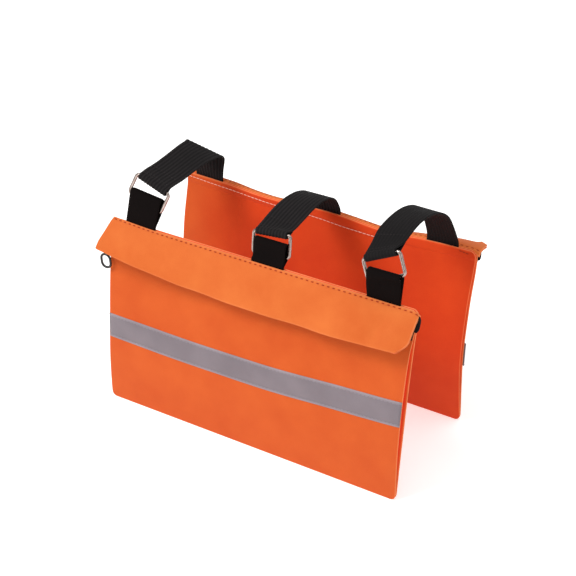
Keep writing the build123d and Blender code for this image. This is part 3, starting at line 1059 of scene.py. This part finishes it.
# The straps' lines from just behind the ring: middle point in mm, then half of the edge to edge line.
STRAP_LINES = {
    "left": (
        ((-116.0, -38.0, 223.6), (14.3, 0.4, -5.3)),
        ((-117.6, -20.0, 222.6), (14.2, 0.6, -5.5)),
        ((-119.5, 2.0, 222.8), (14.1, 1.0, -5.8)),
        ((-121.6, 24.0, 222.6), (14.1, 2.5, -6.4)),
        ((-123.2, 39.5, 220.8), (14.0, 6.0, -7.4)),
        ((-124.2, 47.5, 219.3), (14.2, 9.0, -8.6)),
        ((-124.8, 51.6, 216.4), (14.4, 9.8, -8.8)),
        ((-125.4, 54.2, 210.8), (14.6, 8.2, -7.4)),
        ((-126.4, 57.6, 198.5), (15.0, 4.0, -3.6)),
    ),
    "middle": (
        ((6.8, -40.0, 211.9), (15.2, 1.0, -0.8)),
        ((5.2, -20.0, 213.7), (15.2, 0.8, -1.8)),
        ((3.6, 0.0, 214.6), (15.2, 0.6, -1.4)),
        ((2.6, 18.0, 213.6), (15.2, 0.4, -0.6)),
        ((1.7, 33.0, 210.3), (15.2, 0.3, 0.0)),
        ((0.9, 47.0, 204.0), (15.2, 0.2, 0.0)),
        ((0.2, 56.0, 195.4), (15.2, 0.0, 0.0)),
    ),
    "right": (
        ((111.8, -46.0, 229.0), (14.6, 1.0, 4.6)),
        ((112.0, -34.0, 234.4), (15.0, 1.0, 2.6)),
        ((112.3, -19.0, 237.0), (15.0, 0.8, 2.2)),
        ((113.0, -2.0, 237.0), (15.1, 0.4, 1.6)),
        ((114.0, 13.0, 234.3), (15.2, 0.0, 0.8)),
        ((115.2, 26.0, 229.4), (15.2, -0.8, 0.2)),
        ((116.1, 37.0, 221.5), (15.2, -1.4, 0.0)),
        ((116.7, 47.5, 208.6), (15.2, -1.4, 0.0)),
        ((117.0, 56.5, 195.0), (15.2, -0.6, 0.0)),
    ),
}
RIB_FULL = 0.36 * MM
STRAP_RELIEF = {"left": 0.34 * MM, "middle": 0.36 * MM, "right": 0.14 * MM}


def bars(side):
    """Centres of a ring's upper and lower bars and the direction along them."""
    joint = JOINTS[f"{side}_ring_swing"]
    upper = Vector(joint["pos_m"])
    low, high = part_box(f"{side}_ring")
    return upper, low + high - upper, Vector(joint["axis"]).normalized()


def strap_route(side, seam):
    """A strap's edge to edge lines: under itself, round the ring's bar and over the saddle."""
    upper, _, along = bars(side)
    rise = along.cross(Vector((0, 1, 0))).normalized()
    if rise.z < 0:
        rise = -rise
    line = [(vec(*middle), vec(*half)) for middle, half in STRAP_LINES[side]]
    (first, half), (second, half_second) = line[:2]
    gap = rise * (STRAP_T + 0.35 * MM)
    centres = [
        (first.lerp(second, 0.3) - gap, half.lerp(half_second, 0.3) * 0.84),
        (first - gap, half * 0.9),
    ]
    wrap = WIRE_R + 0.35 * MM + STRAP_T / 2
    for degrees in (-62, -90, -130, 180, 130, 95, 70):
        turn = math.radians(degrees)
        spoke = Vector((0, math.cos(turn), 0)) * wrap + rise * math.sin(turn) * wrap
        centres.append((upper + spoke, along * STRAP_WIDTH / 2))
    centres += line
    end_x = line[-1][0].x
    for back, up in ((0.0, 1.5), (0.2, -4.0)):
        end = Vector((end_x, seam.y + back * MM, seam.z + up * MM))
        centres.append((end, Vector((STRAP_WIDTH / 2, 0, 0))))
    return [(middle - across, middle + across) for middle, across in centres]


def build_strap(side):
    """An elastic strap: doubled back under itself round the ring, then over the saddle."""
    seam = Vector(JOINTS["rear_pouch_swing"]["pos_m"])
    route = strap_route(side, seam)
    strap, rows = ribbon(f"{side}_strap_webbing", route, STRAP_T, 10, STRAP_RELIEF[side], "elastic")
    front = min(range(len(rows)), key=lambda i: (rows[i][0] + rows[i][1]).y)
    for index, offset in enumerate(STRAP_STITCH_ROWS):
        left, right = rows[front + offset]
        before, after = rows[front + offset - 1], rows[front + offset + 1]
        normal = (right - left).cross(after[0] - before[0]).normalized()
        points = [left.lerp(right, 0.05 + 0.9 * k / 20) + normal * STRAP_T * 0.42 for k in range(21)]
        row_name = f"{side}_strap_stitches_{index}"
        row = stitch_row(row_name, points, [normal] * 21, 1.9 * MM, 0.9 * MM, 0.26 * MM, "stitch_black")
        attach(row, "straps")
    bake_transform(strap)
    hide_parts(f"{side}_strap")


def tab_edge(level, fold, seam):
    """One edge of a tab: up in front of the ring's bar, over its fold and down behind the bar."""
    front = Vector((0, -TAB_LOOP, 0))
    waist = level * 0.45 + fold * 0.55
    seam_front = Vector((0, seam.y - 0.9 * MM, seam.z))
    seam_back = Vector((0, seam.y + 0.6 * MM, seam.z))
    above, below = vec(0, 0, 0.5), vec(0, 0, -4)
    edge = [seam_front + below, seam_front + above]
    edge += [seam_front.lerp(level + front, share) for share in (0.45, 0.85)]
    edge.append(waist + front * 1.02)
    for degrees in (170, 130, 90, 50, 10):
        turn = math.radians(degrees)
        edge.append(fold + Vector((0, math.cos(turn), math.sin(turn))) * TAB_LOOP)
    edge.append(waist - front * 1.02)
    edge += [seam_back.lerp(level - front, share) for share in (0.85, 0.45)]
    return edge + [seam_back + above, seam_back + below]


def build_tab(side):
    """A plain webbing tab: up in front of the ring's bar, over a fold and down behind it."""
    _, bar, along = bars(side)
    low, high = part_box(f"{side}_tab")
    seam = Vector(JOINTS["front_pouch_swing"]["pos_m"])
    surface = tree_of(frame["nodes"][f"{side}_tab"])
    left_spread, right_spread = TAB_SPREAD[side]
    edges = []
    for x, inside, spread in ((low.x, 0.3, -left_spread), (high.x, -0.3, right_spread)):
        level = bar + along * ((x - bar.x) / along.x)
        starts = [Vector((x + inside * MM, level.y + k * MM, high.z + 0.02)) for k in range(-6, 7)]
        tops = [surface.ray_cast(start, Vector((0, 0, -1)))[0] for start in starts]
        peak = max([top for top in tops if top], key=lambda top: top.z)
        fold = Vector((x, peak.y, peak.z - TAB_LOOP - TAB_T / 2 + TAB_RISE[side] * MM))
        edge = tab_edge(level, fold, seam)
        edges.append([Vector((x + spread * MM, point.y, point.z)) for point in edge])
    tab, rows = ribbon(f"{side}_tab_webbing", list(zip(*edges)), TAB_T, 4, 0.0, "webbing")
    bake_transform(tab)
    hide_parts(f"{side}_tab")


# ---- studio ----


def build_floor():
    """The floor, and the even white light above it."""
    verts = [vec(x, y, -0.2) for x, y in ((-4000, -3000), (4000, -3000), (4000, 5000), (-4000, 5000))]
    make_piece("studio_floor", verts, [(0, 1, 2, 3)], "floor")
    world = bpy.data.worlds.new("studio")
    world.use_nodes = True
    background = world.node_tree.nodes["Background"]
    background.inputs["Color"].default_value = (1.0, 0.985, 0.97, 1.0)
    background.inputs["Strength"].default_value = 0.6
    bpy.context.scene.world = world


def build_lamps():
    """Large soft lamps that look at the object's middle."""
    for name, place, size, power in LAMPS:
        light = bpy.data.lights.new(name, "AREA")
        light.size = size
        light.energy = power
        lamp = bpy.data.objects.new(name, light)
        lamp.location = place
        lamp.rotation_euler = (vec(0, 0, 100) - Vector(place)).to_track_quat("-Z", "Y").to_euler()
        bpy.context.scene.collection.objects.link(lamp)


def build_camera():
    """The camera at its azimuth, elevation and roll."""
    right = Vector((math.cos(CAMERA_AZIMUTH), math.sin(CAMERA_AZIMUTH), 0))
    ahead = Vector((-math.sin(CAMERA_AZIMUTH), math.cos(CAMERA_AZIMUTH), 0))
    look = ahead * math.cos(CAMERA_ELEVATION) - Vector((0, 0, math.sin(CAMERA_ELEVATION)))
    up = right.cross(look)
    side = right * math.cos(CAMERA_ROLL) + up * math.sin(CAMERA_ROLL)
    head = up * math.cos(CAMERA_ROLL) - right * math.sin(CAMERA_ROLL)
    lens = bpy.data.cameras.new("camera")
    lens.lens = CAMERA_LENS
    lens.sensor_width = 36.0
    camera = bpy.data.objects.new("camera", lens)
    turned = Matrix((side, head, -look)).transposed().to_4x4()
    camera.matrix_world = Matrix.Translation(CAMERA_PLACE) @ turned
    bpy.context.scene.collection.objects.link(camera)
    bpy.context.scene.camera = camera
    bpy.context.scene.view_settings.view_transform = "Standard"


finish_cad_nodes()
for pouch_name, way_out in (("front", -1), ("rear", 1)):
    pouch = build_pouch(pouch_name, way_out)
    pouch_surface = tree_of(pouch)
    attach(pouch, f"{pouch_name}_pouch")
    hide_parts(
        f"{pouch_name}_outer_panel", f"{pouch_name}_inner_panel", f"{pouch_name}_seam_allowance"
    )
    build_tape(pouch_name, way_out, pouch_surface)
    build_hem_stitches(pouch_name, way_out, pouch_surface)
    build_flap(pouch_name, way_out)
    build_coil(pouch_name, way_out)
    build_zip_tape(pouch_name, way_out, pouch_surface)
    build_pull(pouch_name)
for chain_side in ("left", "middle", "right"):
    build_ring(chain_side)
    build_strap(chain_side)
    build_tab(chain_side)
build_floor()
build_lamps()
build_camera()
